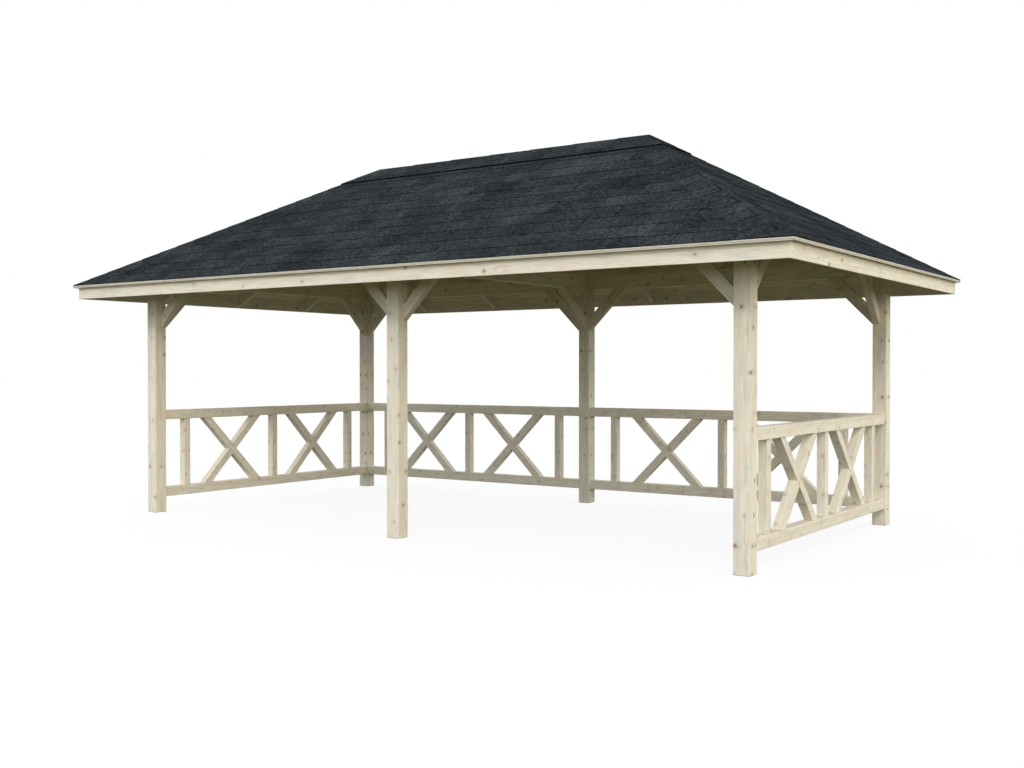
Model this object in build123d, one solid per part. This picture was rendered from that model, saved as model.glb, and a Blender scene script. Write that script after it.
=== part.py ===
from build123d import *
import os
from math import cos, radians, sqrt, tan

# Garden gazebo: an open timber frame on six posts with a shingled hipped roof.
# +X runs along the length, +Y to the back, +Z up. The origin is on the ground,
# under the middle of the roof. All sizes are in millimetres.

# ---- driving dimensions -------------------------------------------------
BAY = 3000              # post centre to post centre along the length (two bays)
DEPTH = 3000            # post centre to post centre across
POST = 120              # square posts

PLATE_W = 90            # wall plates and tie beam: width
PLATE_H = 140           # wall plates and tie beam: height
PLATE_BOTTOM = 2175     # underside of the plates, where the posts end

BRACE_T = 60            # knee braces: thickness
BRACE_W = 90            # knee braces: width in the plane of the brace
BRACE_RUN = 418         # how far a brace reaches along its plate and down its post

RAIL = 90               # square rails of the railing
RAIL_LOW = 144          # underside of the bottom rail
RAIL_TOP = 975          # top of the top rail
BALUSTER = 70           # square balusters and crossed bars
BALUSTER_INSET = 335    # post centre to the centre of the first baluster

PITCH = 30              # roof pitch in degrees, the same on all four slopes
OVERHANG = 500          # post centre to the outer face of the fascia
SEAT = 10               # depth of the rafters' notches over the plates' outer edges
FASCIA_T = 20
FASCIA_H = 125          # underside of the fascia to the upper edge of the shingles
SHINGLE_LIP = 41        # shingles past the outer face of the fascia
DECK_LIP = 36           # roof boards past the outer face of the fascia
DRIP_T = 3              # drip edge on the ends of the roof boards: thickness
DRIP_H = 15             # drip edge: lower edge to the upper edge of the shingles
SHINGLE_T = 5
DECK_T = 18
RAFTER_W = 45
RAFTER_D = 95
RAFTER_STEP = 1000      # rafter centre to rafter centre
HIP_W = 60
HIP_D = 120             # hip rafters: upright depth
RIDGE_W = 45
RIDGE_D = 150
CAP_HALF_Y = 266        # hipped ridge cap: middle to its lower edge
CAP_T = 11              # hipped ridge cap: how far it stands on the shingles

# ---- worked-out places --------------------------------------------------
SLOPE = tan(radians(PITCH))
UPRIGHT = 1 / cos(radians(PITCH))     # a roof layer's upright depth per thickness
HALF_POST = POST / 2
FASCIA_X = BAY + OVERHANG             # outer face of the end fascia boards
FASCIA_Y = DEPTH / 2 + OVERHANG
EAVE_X = FASCIA_X + SHINGLE_LIP
EAVE_Y = FASCIA_Y + SHINGLE_LIP
RIDGE_HALF = EAVE_X - EAVE_Y
DECK_DROP = SHINGLE_T * UPRIGHT       # each drop is measured down from the
RAFTER_DROP = DECK_DROP + DECK_T * UPRIGHT    # upper face of the shingles
RAFTER_END = RAFTER_DROP + RAFTER_D * UPRIGHT
PLATE_TOP = PLATE_BOTTOM + PLATE_H
BRACE_FOOT = PLATE_BOTTOM - BRACE_RUN
SEAT_Y = DEPTH / 2 + PLATE_W / 2      # outer face of the front and back plates
EAVE_Z = PLATE_TOP - SEAT + RAFTER_END - (EAVE_Y - SEAT_Y) * SLOPE
APEX_Z = EAVE_Z + EAVE_Y * SLOPE
FASCIA_LOW = EAVE_Z - FASCIA_H
ROOF_FOOT = FASCIA_LOW - POST         # below everything in the roof
ROOF_HEAD = APEX_Z + POST             # above everything in the roof
POST_X = (-BAY, 0, BAY)
POST_Y = (-DEPTH / 2, DEPTH / 2)
X_NAME = {-BAY: "left", 0: "middle", BAY: "right"}
Y_NAME = {-DEPTH / 2: "front", DEPTH / 2: "back"}


def block(x0, x1, y0, y1, z0, z1):
    """A box between two corners."""
    centre = Pos((x0 + x1) / 2, (y0 + y1) / 2, (z0 + z1) / 2)
    return centre * Box(x1 - x0, y1 - y0, z1 - z0)


def prism(points, z0, z1):
    """An upright prism over a plan outline."""
    outline = make_face(Polyline(*[(x, y, z0) for x, y in points], close=True))
    return extrude(outline, amount=z1 - z0, dir=(0, 0, 1))


def write(name, solids):
    """One STEP file with the given solids."""
    found = solids if isinstance(solids, list) else [solids]
    flat = [s for shape in found for s in shape.solids()]
    shape = flat[0] if len(flat) == 1 else Compound(children=flat)
    export_step(shape, os.path.join("parts", name + ".step"))


# ---- frame --------------------------------------------------------------
def post(x, y):
    return block(x - HALF_POST, x + HALF_POST, y - HALF_POST, y + HALF_POST, 0, PLATE_BOTTOM)


def plate_along(y):
    """A plate along the length, out to the outer faces of the corner posts."""
    reach = BAY + HALF_POST
    return block(-reach, reach, y - PLATE_W / 2, y + PLATE_W / 2, PLATE_BOTTOM, PLATE_TOP)


def plate_across(x):
    """A plate or tie beam across, between the front and back plates."""
    reach = DEPTH / 2 - PLATE_W / 2
    return block(x - PLATE_W / 2, x + PLATE_W / 2, -reach, reach, PLATE_BOTTOM, PLATE_TOP)


def brace(start, side, low, high):
    """A knee brace at 45 degrees in the plane of X and Z, between low and high in Y.

    start is the X of the post face that it stands against, side is the way it leans."""
    cut = BRACE_W * sqrt(2)
    outline = Polyline(
        (start, low, BRACE_FOOT),
        (start + side * BRACE_RUN, low, PLATE_BOTTOM),
        (start + side * (BRACE_RUN - cut), low, PLATE_BOTTOM),
        (start, low, BRACE_FOOT + cut),
        close=True)
    return extrude(make_face(outline), amount=high - low, dir=(0, 1, 0))


def braces_along(y):
    """The four braces under a plate along the length, flush with the posts' inner faces."""
    inner = DEPTH / 2 - HALF_POST
    low, high = (inner, inner + BRACE_T) if y > 0 else (-inner - BRACE_T, -inner)
    places = [(-BAY, 1), (0, -1), (0, 1), (BAY, -1)]
    return [brace(x + side * HALF_POST, side, low, high) for x, side in places]


def braces_across(low, high):
    """The two braces under a plate or tie beam across, between low and high in X."""
    inner = DEPTH / 2 - HALF_POST
    return [Rot(0, 0, 90) * brace(-side * inner, side, -high, -low) for side in (1, -1)]


# ---- railing ------------------------------------------------------------
def crossed_bars(centre):
    """Two bars that cross at 45 degrees between the rails, half-lapped flush."""
    low = RAIL_LOW + RAIL
    high = RAIL_TOP - RAIL
    reach = (high - low) / 2
    half = BALUSTER * sqrt(2) / 2
    bars = []
    for lean in (1, -1):
        outline = Polyline(
            (centre - lean * reach - half, -BALUSTER / 2, low),
            (centre - lean * reach + half, -BALUSTER / 2, low),
            (centre + lean * reach + half, -BALUSTER / 2, high),
            (centre + lean * reach - half, -BALUSTER / 2, high),
            close=True)
        bars.append(extrude(make_face(outline), amount=BALUSTER, dir=(0, 1, 0)))
    return bars


def railing(length):
    """A panel along X, centred at 0, between two posts whose centres are length apart."""
    face = length / 2 - HALF_POST
    first = length / 2 - BALUSTER_INSET
    low = RAIL_LOW + RAIL
    high = RAIL_TOP - RAIL
    half = BALUSTER / 2
    panel = block(-face, face, -RAIL / 2, RAIL / 2, RAIL_LOW, low)
    panel = panel + block(-face, face, -RAIL / 2, RAIL / 2, high, RAIL_TOP)
    for x in (-first, 0, first):
        panel = panel + block(x - half, x + half, -half, half, low, high)
    for bar in crossed_bars(-first / 2) + crossed_bars(first / 2):
        panel = panel + bar
    return panel


# ---- roof ---------------------------------------------------------------
def under_roof(drop):
    """Everything under the hipped roof surface, lowered by drop."""
    foot = EAVE_Z - drop
    peak = APEX_Z - drop
    gable = Polyline(
        (-EAVE_X, -EAVE_Y, ROOF_FOOT),
        (-EAVE_X, EAVE_Y, ROOF_FOOT),
        (-EAVE_X, EAVE_Y, foot),
        (-EAVE_X, 0, peak),
        (-EAVE_X, -EAVE_Y, foot),
        close=True)
    front = Polyline(
        (-EAVE_X, -EAVE_Y, ROOF_FOOT),
        (EAVE_X, -EAVE_Y, ROOF_FOOT),
        (EAVE_X, -EAVE_Y, foot),
        (RIDGE_HALF, -EAVE_Y, peak),
        (-RIDGE_HALF, -EAVE_Y, peak),
        (-EAVE_X, -EAVE_Y, foot),
        close=True)
    length = extrude(make_face(gable), amount=2 * EAVE_X, dir=(1, 0, 0))
    width = extrude(make_face(front), amount=2 * EAVE_Y, dir=(0, 1, 0))
    return length & width


def slope_plan(side):
    """The upright prism that stands over one slope, from its eave to its hips and ridge."""
    long_half = [(EAVE_X, EAVE_Y), (RIDGE_HALF, 0), (-RIDGE_HALF, 0), (-EAVE_X, EAVE_Y)]
    short_half = [(EAVE_X, EAVE_Y), (RIDGE_HALF, 0), (EAVE_X, -EAVE_Y)]
    plans = {
        "back": long_half,
        "front": [(x, -y) for x, y in long_half],
        "right": short_half,
        "left": [(-x, y) for x, y in short_half],
    }
    return prism(plans[side], ROOF_FOOT, ROOF_HEAD)


def plan_block(half_x, half_y):
    """A tall box over the middle of the roof, for trimming a layer in plan."""
    return block(-half_x, half_x, -half_y, half_y, ROOF_FOOT, ROOF_HEAD)


def hip_rafter(side_x, side_y, roof, blocked):
    """A hip rafter from the end of the ridge to the corner of the fascia."""
    start = -HIP_W
    end = EAVE_Y * sqrt(2)
    fall = SLOPE / sqrt(2)
    top = APEX_Z - RAFTER_DROP
    profile = Polyline(
        (start, -HIP_W / 2, top - start * fall),
        (start, -HIP_W / 2, top - start * fall - HIP_D),
        (end, -HIP_W / 2, top - end * fall - HIP_D),
        (end, -HIP_W / 2, top - end * fall),
        close=True)
    bar = extrude(make_face(profile), amount=HIP_W, dir=(0, 1, 0))
    turn = side_y * 45 if side_x > 0 else side_y * 135
    placed = Pos(side_x * RIDGE_HALF, 0, 0) * Rot(0, 0, turn) * bar
    x0, x1 = sorted((0, side_x * (FASCIA_X - FASCIA_T)))
    y0, y1 = sorted((0, side_y * (FASCIA_Y - FASCIA_T)))
    return (placed & roof & block(x0, x1, y0, y1, ROOF_FOOT, ROOF_HEAD)) - blocked


def rafters(side, layer, blocked):
    """The rafters of one slope, cut against the ridge, the hips and the plates."""
    half = RAFTER_W / 2
    reach_x = FASCIA_X - FASCIA_T
    reach_y = FASCIA_Y - FASCIA_T
    area = layer & slope_plan(side)
    found = []
    if side in ("front", "back"):
        count = int((reach_x - RAFTER_STEP / 2) // RAFTER_STEP) + 1
        centres = [(i + 0.5) * RAFTER_STEP for i in range(-count, count)]
        y0, y1 = (-reach_y, 0) if side == "front" else (0, reach_y)
        strips = [block(x - half, x + half, y0, y1, ROOF_FOOT, ROOF_HEAD) for x in centres]
    else:
        count = int(reach_y // RAFTER_STEP)
        centres = [i * RAFTER_STEP for i in range(-count, count + 1)]
        x0, x1 = (-reach_x, 0) if side == "left" else (0, reach_x)
        strips = [block(x0, x1, y - half, y + half, ROOF_FOOT, ROOF_HEAD) for y in centres]
    for strip in strips:
        piece = area & strip
        for other in blocked:
            piece = piece - other
        found.append(piece)
    return found


def fascia(side, roof):
    """A fascia board; the long boards cover the ends of the short ones."""
    if side in ("front", "back"):
        sign = -1 if side == "front" else 1
        y0, y1 = sorted((sign * FASCIA_Y, sign * (FASCIA_Y - FASCIA_T)))
        board = block(-FASCIA_X, FASCIA_X, y0, y1, FASCIA_LOW, ROOF_HEAD)
    else:
        sign = -1 if side == "left" else 1
        reach = FASCIA_Y - FASCIA_T
        x0, x1 = sorted((sign * FASCIA_X, sign * (FASCIA_X - FASCIA_T)))
        board = block(x0, x1, -reach, reach, FASCIA_LOW, ROOF_HEAD)
    return board & roof


# ---- building it --------------------------------------------------------
os.makedirs("parts", exist_ok=True)

for x in POST_X:
    for y in POST_Y:
        write("post_" + Y_NAME[y] + "_" + X_NAME[x], post(x, y))

plates = {
    "plate_front": plate_along(-DEPTH / 2),
    "plate_back": plate_along(DEPTH / 2),
    "plate_left": plate_across(-BAY),
    "plate_right": plate_across(BAY),
    "tie_beam": plate_across(0),
}
for name, beam in plates.items():
    write(name, beam)

INNER_X = BAY - HALF_POST
write("braces_front", braces_along(-DEPTH / 2))
write("braces_back", braces_along(DEPTH / 2))
write("braces_left", braces_across(-INNER_X - BRACE_T, -INNER_X))
write("braces_right", braces_across(INNER_X, INNER_X + BRACE_T))
write("braces_middle", braces_across(-BRACE_T / 2, BRACE_T / 2))

end_panel = Rot(0, 0, 90) * railing(DEPTH)
back_panel = Pos(0, DEPTH / 2, 0) * railing(BAY)
write("railing_left", Pos(-BAY, 0, 0) * end_panel)
write("railing_right", Pos(BAY, 0, 0) * end_panel)
write("railing_back_left", Pos(-BAY / 2, 0, 0) * back_panel)
write("railing_back_right", Pos(BAY / 2, 0, 0) * back_panel)

under_shingles = under_roof(DECK_DROP)
under_deck = under_roof(RAFTER_DROP)
shingle_layer = under_roof(0) - under_shingles
deck_end = plan_block(FASCIA_X + DECK_LIP, FASCIA_Y + DECK_LIP)
deck_layer = (under_shingles - under_deck) & deck_end
rafter_layer = under_deck - under_roof(RAFTER_END)

RIDGE_LOW = APEX_Z - RAFTER_DROP - RIDGE_D
ridge_blank = block(-RIDGE_HALF, RIDGE_HALF, -RIDGE_W / 2, RIDGE_W / 2, RIDGE_LOW, ROOF_HEAD)
write("ridge_beam", ridge_blank & under_deck)

seats = plates["plate_front"] + plates["plate_back"] + plates["plate_left"] + plates["plate_right"]
hips = {}
for side_x, x_name in ((-1, "left"), (1, "right")):
    for side_y, y_name in ((-1, "front"), (1, "back")):
        name = "hip_rafter_" + y_name + "_" + x_name
        hips[name] = hip_rafter(side_x, side_y, under_deck, seats + ridge_blank)
        write(name, hips[name])

blocked = [seats, ridge_blank] + list(hips.values())
for side in ("front", "back", "left", "right"):
    write("rafters_" + side, rafters(side, rafter_layer, blocked))
    write("deck_" + side, deck_layer & slope_plan(side))
    write("shingles_" + side, shingle_layer & slope_plan(side))
    write("fascia_" + side, fascia(side, under_deck))

drip_reach = DECK_LIP + DRIP_T
above_drip = block(-EAVE_X, EAVE_X, -EAVE_Y, EAVE_Y, EAVE_Z - DRIP_H, ROOF_HEAD)
drip_ring = plan_block(FASCIA_X + drip_reach, FASCIA_Y + drip_reach) - deck_end
write("drip_edge", drip_ring & under_shingles & above_drip)

cap_layer = under_roof(-CAP_T * UPRIGHT) - under_roof(0)
write("ridge_cap", cap_layer & plan_block(RIDGE_HALF + CAP_HALF_Y, CAP_HALF_Y))
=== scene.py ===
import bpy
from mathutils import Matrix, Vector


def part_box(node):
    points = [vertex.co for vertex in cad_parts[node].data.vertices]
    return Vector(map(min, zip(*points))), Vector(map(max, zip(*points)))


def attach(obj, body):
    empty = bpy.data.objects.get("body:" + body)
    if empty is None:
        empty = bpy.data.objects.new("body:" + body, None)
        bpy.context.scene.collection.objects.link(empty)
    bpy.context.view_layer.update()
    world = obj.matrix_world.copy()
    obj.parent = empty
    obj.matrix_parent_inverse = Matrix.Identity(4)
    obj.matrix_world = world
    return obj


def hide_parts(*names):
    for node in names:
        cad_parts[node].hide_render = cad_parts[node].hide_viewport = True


bl_info = {
    "name": "Garden Gazebo",
    "version": (1, 0, 0),
    "blender": (4, 5, 0),
    "location": "View3D > Sidebar > Gazebo",
    "description": "Six-post timber gazebo with crossed railings and a shingled hipped roof",
    "category": "Add Mesh",
}

from math import atan, cos, radians, sin, sqrt, tan

import bpy
import numpy as np
from bpy.props import FloatProperty, FloatVectorProperty, PointerProperty
from bpy.types import Operator, Panel, PropertyGroup

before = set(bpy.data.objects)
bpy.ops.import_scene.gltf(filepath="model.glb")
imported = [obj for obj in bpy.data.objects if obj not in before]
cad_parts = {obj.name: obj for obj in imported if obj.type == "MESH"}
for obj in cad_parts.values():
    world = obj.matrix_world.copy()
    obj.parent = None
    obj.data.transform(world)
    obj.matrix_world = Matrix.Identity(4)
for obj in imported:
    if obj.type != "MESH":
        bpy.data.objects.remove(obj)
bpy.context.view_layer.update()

# ---- places read from the frame, in metres -------------------------------


def box(node):
    """Lowest and highest corner of a CAD node, as two arrays."""
    low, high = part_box(node)
    return np.array(low), np.array(high)


def spans(node):
    """A CAD node's middle and its half size, as two arrays."""
    low, high = box(node)
    return (low + high) / 2, (high - low) / 2


X, Y, Z = np.eye(3)
SIDES = ("front", "back", "left", "right")
SIGN = {"left": -1, "right": 1, "front": -1, "back": 1}
CORNERS = [(x, y) for x in ("left", "right") for y in ("front", "back")]
POST_NAMES = [f"post_{y}_{x}" for y in ("front", "back") for x in ("left", "middle", "right")]
(POST_X, POST_Y, _), (POST_HALF, _, _) = spans("post_back_right")
PLATE_LOW = box("plate_front")[0][2]
SHINGLE_LOW, SHINGLE_HIGH = box("shingles_front")
EAVE_X = SHINGLE_HIGH[0]
EAVE_Y = -SHINGLE_LOW[1]
APEX_Z = SHINGLE_HIGH[2]
RIDGE_HALF = EAVE_X - EAVE_Y
DECK_X, _, DECK_TOP = box("deck_front")[1]
DECK_DROP = APEX_Z - DECK_TOP                       # plumb, from the shingles' upper face
RAFTER_DROP = APEX_Z - box("ridge_beam")[1][2]      # likewise
SLOPE = (DECK_TOP - SHINGLE_LOW[2]) / EAVE_Y
PITCH = atan(SLOPE)
EAVE_Z = APEX_Z - EAVE_Y * SLOPE
FASCIA_LOW, FASCIA_HIGH = box("fascia_front")
FASCIA_X = FASCIA_HIGH[0]
FASCIA_Y = -FASCIA_LOW[1]
FASCIA_T = FASCIA_HIGH[1] - FASCIA_LOW[1]

# ---- sizes that no box gives, in metres -----------------------------------

BRACE_WIDTH = 0.09          # in the plane of the brace
STICK_HALF = 0.035          # half an upright or a crossed bar of the railing
FIRST_UPRIGHT = 0.335       # from a post's middle to the middle of the upright next to it
RAFTER_HALF = 0.0225        # also half the ridge beam
RAFTER_DEPTH = 0.095        # square to the slope
RAFTER_STEP = 1.0
RAFTERS = (3, 6)            # on a short slope and on a long one
HIP_HALF = 0.03
HIP_DEPTH = 0.12            # plumb
HIP_START = 0.02            # down the hip, from the ridge's end
HIPS_MEET = 0.065           # from the ridge's end to the rafter between two hips
NEAR_HIP = 0.1              # a rafter this near the ridge's end stops at the hip
BOARD_GAP = 0.0006          # between two roof boards
UPPER_EASE = 0.0005         # easing of the roof boards' upper edges
FASCIA_CLEAR = 0.0005       # between a fascia and the roof boards

# where a bar lies in its log
POST_PITH = 0.7             # share of a bar's width that its pith is placed in
BOARD_SHAPE = 1.3           # a bar this many times as wide as thick is sawn beside the pith
PITH_BEHIND = 1.1           # how many widths behind its middle such a bar has its pith
LOG_RUN = (3.0, 60.0)       # how far along its log a bar may start

# the roof covering: h is out of a slope, s is up it, from the middle of its eave
FELT = 0.0012               # thickness of the felt
FELT_FOOT = 0.006           # where the felt starts, up the slope
COURSE_FOOT = 0.004         # where the first course starts
FELT_SHORT = 0.02           # what the felt leaves free below the ridge
RIDGE_ROOM = 0.1            # a whole course ends further than this below the ridge
LAST_SHORT = 0.06           # what the shown part of the last course leaves free there
HIP_HOLD = 0.03             # what a course leaves free at a hip
TAB_LEAST = 0.03            # a narrower tab is left out
CUT_LEAST, CUT_MORE = 0.6, 2.6      # least share of the usual cut, and what luck adds at most
TAB_TURN = 0.0015           # how far one end of a tab may sit above the other
TAB_DROP = (-0.001, 0.0015)         # how far a tab may sit off its course's line
LIP_ROWS = (0.002, 0.011)   # rows of points above a shingle's lower edge
LIP_DROP = 0.0012           # how far that edge is pressed down
SIDE_RIM = 0.005            # how far the dark rim of a shingle's side edges reaches in: exposed bitumen at the cut, painted shadow beside it
SLIVER = 0.0003             # least distance between two rows or columns of its points
TAB_RIMS = (1.0, 0.7, 0.6)  # darkness of a tab's lower edge, the row above it, and its sides: exposed bitumen on the cut edges, painted shadow of the course line and the cuts on the face beside them
FOLD_RIMS = (0.8, 0.5, 0.8)         # the same for a folded shingle, with the sides of a slot
UNDER_RIM = 0.4             # least darkness of a shingle's underside and of the lower part of its edges: exposed bitumen
FOLD = 0.012                # half width of a fold's round
FOLD_FOOT = 0.008           # where the first folded shingle starts
FOLD_LIFT = 1.1             # thicknesses of shingle that a folded one lies on
FOLD_SPREAD = 0.003         # how far a folded shingle may be off its width
WING_DROP = 0.0018          # how far its outer edges are pressed down
WING_EDGE = 0.001           # width of what counts as an outer edge
WING_LEAST = 0.1            # an outer edge lies further than this from the fold
SLOT = (0.031, 0.036)       # from the fold to the two edges of a slot
UNDER_CAP = 0.08            # how far the hip shingles run on past the ridge cap's end
CAP_COURSE = 0.12           # height of the course round the ridge cap
CAP_SHORT = 0.002           # what the cap's sheets and tabs leave free below the ridge
CAP_CLEAR = 0.0004          # what its tabs leave free under its box's top
CAP_GAP = 0.0002            # between its tabs and its body
CAP_SUNK = 0.0012           # how far its body reaches down into the shingles
CAP_END = (0.001, 0.5)      # where a tab beyond the ridge's end starts, and at most ends
SHEET_LEAST = 0.0005        # least half width of a sheet of felt
# the drip edge's four corners, from outside below to inside below: points out and up from each
STRIP_CORNERS = (((-0.0005, 0.0), (0.0, 0.0008), (0.0, 0.003), (-0.001, 0.004)),
                 ((-0.001, 0.0),), ((0.0003, 0.0005),), ((0.0003, 0.0008), (0.001, 0.0)))

# ---- settings -------------------------------------------------------------


def size(name, description, default):
    return FloatProperty(name=name, description=description, default=default, min=0.0,
                         subtype="DISTANCE", unit="LENGTH", precision=4)


def share(name, description, default):
    return FloatProperty(name=name, description=description, default=default, min=0.0, max=1.0,
                         subtype="FACTOR")


def shade(name, description, red, green, blue):
    """A display colour, given as three values up to 255."""
    return FloatVectorProperty(name=name, description=description, size=3, min=0.0, max=1.0,
                               subtype="COLOR_GAMMA", default=(red / 255, green / 255, blue / 255))


def strength(name, description, default):
    return FloatProperty(name=name, description=description, default=default, min=0.0)


def lamp_place(name, across, up):
    return FloatVectorProperty(name=name, description="Angles from straight ahead and up", size=2,
                               unit="ROTATION", default=(radians(across), radians(up)))


def lamp_spread(name, degrees):
    return FloatProperty(name=name, description="How broad the lamp looks", subtype="ANGLE",
                         unit="ROTATION", default=radians(degrees))


class GazeboTimber(PropertyGroup):
    arris: size("Arris", "How far the edges of posts, plates and rails are eased", 0.004)
    fine_arris: size("Fine arris", "How far the edges of thin timber are eased", 0.0025)
    board: size("Roof board", "Widest face of a roof board", 0.098)
    board_groove: size("Board groove", "Bevel along each roof board's lower edges", 0.0035)
    whorl: size("Whorl spacing", "Usual distance between rings of knots", 0.22)
    frame_knots: share("Frame knots", "Strength of knots on posts, plates, braces, fascias", 0.9)
    rail_knots: share("Railing knots", "Strength of knots on railings and rafters", 0.45)
    board_knots: share("Board knots", "Strength of knots on roof boards", 0.3)
    cream: shade("Cream", "Main colour of the sapwood", 239, 235, 222)
    tan: shade("Tan", "Darker bands of the wood", 223, 213, 191)
    pink: shade("Pink", "Warm streaks of the wood", 232, 215, 202)
    grey: shade("Grey", "Cool streaks of the wood", 214, 217, 208)
    knot: shade("Knot", "Heart of a knot", 140, 112, 86)
    sound_knot: shade("Sound knot", "Colour of a pale knot", 182, 156, 126)
    # painted shade: the roof boards are seen only in shade under the roof, and this tone makes
    # them darker and yellower than the other spruce
    board_shade_tint: shade("Board shade tint", "Colour that the roof boards are toned by", 246, 240, 205)


class GazeboRoof(PropertyGroup):
    tab_width: size("Tab width", "Width of one shingle tab", 0.45)
    exposure: size("Exposure", "Visible height of one shingle course", 0.20)
    first_course: size("First course", "Visible height of the course at the eave", 0.17)
    lap: size("Lap", "How far a course runs up under the next", 0.03)
    thickness: size("Thickness", "Thickness of a shingle", 0.0034)
    cut: size("Cut", "Usual gap between two tabs", 0.004)
    cap_exposure: size("Cap exposure", "Visible length of one hip shingle", 0.172)
    cap_half: size("Cap half width", "From the fold of a hip shingle to its edge", 0.215)
    dark: shade("Dark granules", "Darker stones of the shingles", 21, 24, 26)
    mid: shade("Middle granules", "Main colour of the shingles", 45, 49, 52)
    light: shade("Light granules", "Lighter stones of the shingles", 79, 84, 86)
    # the colour of exposed bitumen and felt, also used for the painted shadow along the course
    # lines and cuts and under the ridge cap's edge
    edge: shade("Bitumen", "Cut edges and the felt below", 14, 15, 17)
    metal: shade("Drip edge", "Coating of the drip edge", 182, 178, 163)


class GazeboStage(PropertyGroup):
    eye: FloatVectorProperty(name="Camera place", description="Where the camera stands",
                             subtype="TRANSLATION", unit="LENGTH", default=(6.009, -8.610, 1.354))
    turn: FloatVectorProperty(name="Camera turn", description="Camera's rotation",
                              subtype="EULER", unit="ROTATION", default=(1.5590, 0.0002, 0.6016))
    lens: FloatProperty(name="Lens", description="Focal length in millimetres", default=40.21)
    sky: strength("Sky", "Strength of the even light from all round", 1.2)
    sky_tint: shade("Sky tint", "Colour of the even light", 241, 250, 255)
    front_lamp: strength("Front lamp", "Strength of the high lamp in front", 0.70)
    front_place: lamp_place("Front lamp place", 27, 31)
    front_spread: lamp_spread("Front lamp spread", 8)
    front_tint: shade("Front lamp tint", "Colour of the high lamp in front", 255, 241, 242)
    side_lamp: strength("Side lamp", "Strength of the low lamp at the right", 1.37)
    side_place: lamp_place("Side lamp place", 67, 12)
    side_spread: lamp_spread("Side lamp spread", 40)
    side_tint: shade("Side lamp tint", "Colour of the low lamp at the right", 255, 241, 209)
    fill_lamp: strength("Fill lamp", "Strength of the very broad lamp at the left", 0.38)
    fill_place: lamp_place("Fill lamp place", -45, 28)
    fill_spread: lamp_spread("Fill lamp spread", 60)
    fill_tint: shade("Fill lamp tint", "Colour of the very broad lamp at the left", 255, 250, 248)
    floor_shadow: share("Floor shadow", "How strongly the floor shows shadow", 0.10)
    floor_bounce: shade("Floor bounce", "Olive that the floor throws on the object", 87, 86, 63)


SETTINGS = {"gazebo_timber": GazeboTimber, "gazebo_roof": GazeboRoof, "gazebo_stage": GazeboStage}


def linear(colour):
    """Display colour to scene colour: the sRGB curve undone, with alpha 1."""
    c = np.array(colour)
    c = np.where(c <= 0.04045, c / 12.92, ((c + 0.055) / 1.055) ** 2.4)
    return (*c.tolist(), 1.0)


# ---- node trees -----------------------------------------------------------

QUARTER = 1.5708    # a quarter turn, in radians


class Finish:
    """The nodes of a material or a world. An input is a number, a colour, a node or a socket."""

    def __init__(self, owner):
        owner.use_nodes = True
        self.owner = owner
        self.tree = owner.node_tree
        self.tree.nodes.clear()

    def node(self, kind, inputs=None, **settings):
        made = self.tree.nodes.new("ShaderNode" + kind)
        for key, value in settings.items():
            setattr(made, key, value)
        for key, value in (inputs or {}).items():
            if isinstance(value, bpy.types.Node):
                value = value.outputs[0]
            if isinstance(value, bpy.types.NodeSocket):
                self.tree.links.new(value, made.inputs[key])
            else:
                made.inputs[key].default_value = value
        return made

    def math(self, operation, *values, clamp=False):
        return self.node("Math", dict(enumerate(values)), operation=operation, use_clamp=clamp)

    def add(self, a, b, clamp=False):
        return self.math("ADD", a, b, clamp=clamp)

    def less(self, a, b):
        return self.math("SUBTRACT", a, b)

    def times(self, a, b):
        return self.math("MULTIPLY", a, b)

    def distance(self, a, b):
        """The square root of a squared plus b squared."""
        return self.math("SQRT", self.add(self.times(a, a), self.times(b, b)))

    def mix(self, factor, a, b, blend="MIX"):
        made = self.node("Mix", {0: factor, 6: a, 7: b}, data_type="RGBA", blend_type=blend)
        return made.outputs[2]

    def span(self, value, low, high, to_low=0.0, to_high=1.0, kind="SMOOTHSTEP"):
        """Maps low..high to to_low..to_high and holds it at the ends."""
        return self.node("MapRange", {0: value, 1: low, 2: high, 3: to_low, 4: to_high},
                         interpolation_type=kind)

    def even(self, value, low, high, to_low, to_high):
        """The same as span, in a straight line."""
        return self.span(value, low, high, to_low, to_high, "LINEAR")

    def noise(self, vector, scale, detail=2.0, rough=0.5):
        return self.node("TexNoise", {"Vector": vector, "Scale": scale, "Detail": detail,
                                      "Roughness": rough})

    def noise_over(self, value, scale, detail):
        """Noise over one value."""
        return self.node("TexNoise", {"W": value, "Scale": scale, "Detail": detail},
                         noise_dimensions="1D")

    def scaled(self, vector, *by):
        return self.node("VectorMath", {0: vector, 1: by}, operation="MULTIPLY")

    def drawn(self, grain, along, across, detail=2.0, rough=0.5, shift=0.0):
        """Noise with one scale along the grain and another across it."""
        if shift:
            grain = self.node("VectorMath", {0: grain, 1: (shift,) * 3}, operation="ADD")
        return self.noise(self.scaled(grain, along, across, across), 1.0, detail, rough)

    def attribute(self, name, output="Fac"):
        return self.node("Attribute", attribute_name=name).outputs[output]

    def here(self):
        """The place on the object."""
        return self.node("TexCoord").outputs["Object"]

    def surface(self, colour, roughness, bump, height, **sockets):
        """The shader itself, with a bump whose relief is height metres."""
        relief = self.node("Bump", {"Strength": 1.0, "Distance": height, "Height": bump})
        shader = self.node("BsdfPrincipled", {"Base Color": colour, "Roughness": roughness,
                                              "Normal": relief})
        for key, value in sockets.items():
            shader.inputs[key.replace("_", " ")].default_value = value
        self.node("OutputMaterial", {"Surface": shader})
        return self.owner


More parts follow.
